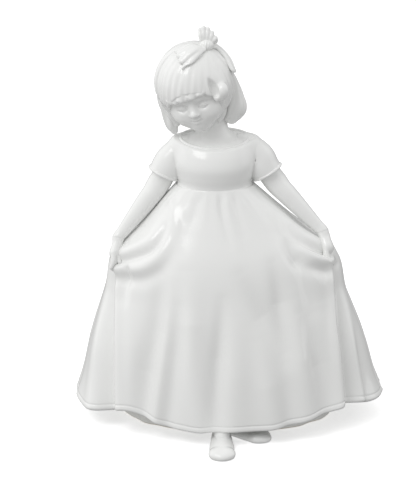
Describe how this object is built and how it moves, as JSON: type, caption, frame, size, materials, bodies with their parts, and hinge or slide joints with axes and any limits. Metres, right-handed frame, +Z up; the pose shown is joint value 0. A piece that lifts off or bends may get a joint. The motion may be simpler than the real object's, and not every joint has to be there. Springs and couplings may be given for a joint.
{
  "type": "porcelain figurine",
  "caption": "White glazed porcelain figurine of a child in a long dress, holding the skirt out with both hands, with a ribbon bow in the hair.",
  "frame": {"origin": "on the table, at the middle of the figurine's outline", "axes": "+Z up, -Y the figure's front, +X the figure's left"},
  "size_m": [0.1293, 0.1, 0.1729],
  "materials": {
    "glazed_porcelain": "clear gloss glaze over white porcelain, bare on the foot rim"
  },
  "bodies": {
    "root": {"skirt_shell": "glazed_porcelain", "petticoat_foot": "glazed_porcelain", "bodice": "glazed_porcelain", "neckline_trim": "glazed_porcelain", "neck": "glazed_porcelain", "head": "glazed_porcelain", "hair_cap": "glazed_porcelain", "fringe": "glazed_porcelain", "side_lock_right": "glazed_porcelain", "side_lock_left": "glazed_porcelain", "swept_lock": "glazed_porcelain", "bow_knot": "glazed_porcelain", "bow_loop_upright": "glazed_porcelain", "bow_loop_side": "glazed_porcelain", "bow_tail": "glazed_porcelain", "sleeve_right": "glazed_porcelain", "sleeve_left": "glazed_porcelain", "sleeve_hem_right": "glazed_porcelain", "sleeve_hem_left": "glazed_porcelain", "arm_right": "glazed_porcelain", "arm_left": "glazed_porcelain", "hand_right": "glazed_porcelain", "hand_left": "glazed_porcelain", "shoe_right": "glazed_porcelain", "shoe_left": "glazed_porcelain", "ankle_right": "glazed_porcelain"}
  },
  "joints": []
}
